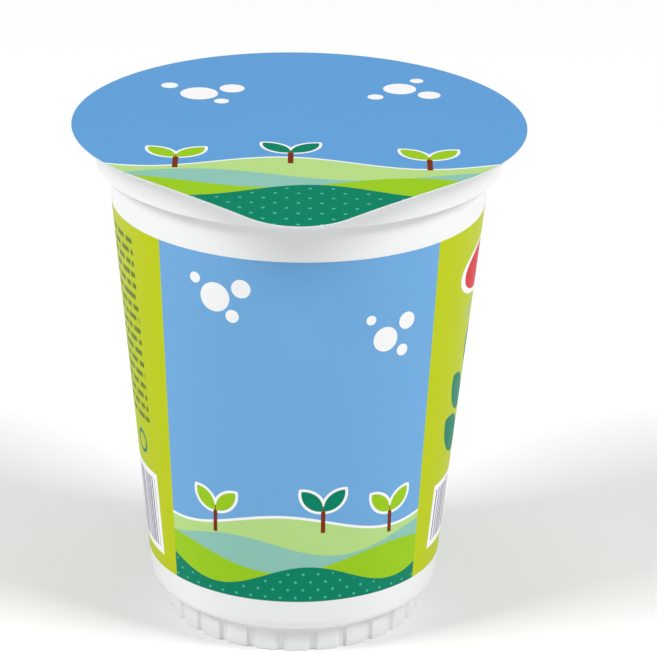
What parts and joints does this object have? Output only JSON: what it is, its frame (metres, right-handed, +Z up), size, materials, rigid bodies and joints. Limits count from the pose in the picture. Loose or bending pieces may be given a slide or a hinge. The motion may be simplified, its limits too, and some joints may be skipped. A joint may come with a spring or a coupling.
{
  "type": "ayran cup",
  "caption": "Shut single-serve ayran cup: a tapered white plastic cup with a stacking collar and a fluted foot, full and so solid, under a foil lid with a pull tab.",
  "frame": {"origin": "on the cup's axis, in the plane that the foot ring stands on", "axes": "+Z up along the cup's axis; -Y to the front, where the lid's pull tab and the print's front panel are; +X to the right of someone facing the front"},
  "size_m": [0.078, 0.0888, 0.0896],
  "materials": {
    "white_plastic": "white polystyrene, printed round the wall",
    "printed_foil": "lacquered foil, printed blue on its outside"
  },
  "bodies": {
    "root": {"cup": "white_plastic", "foil_lid": "printed_foil"}
  },
  "joints": []
}
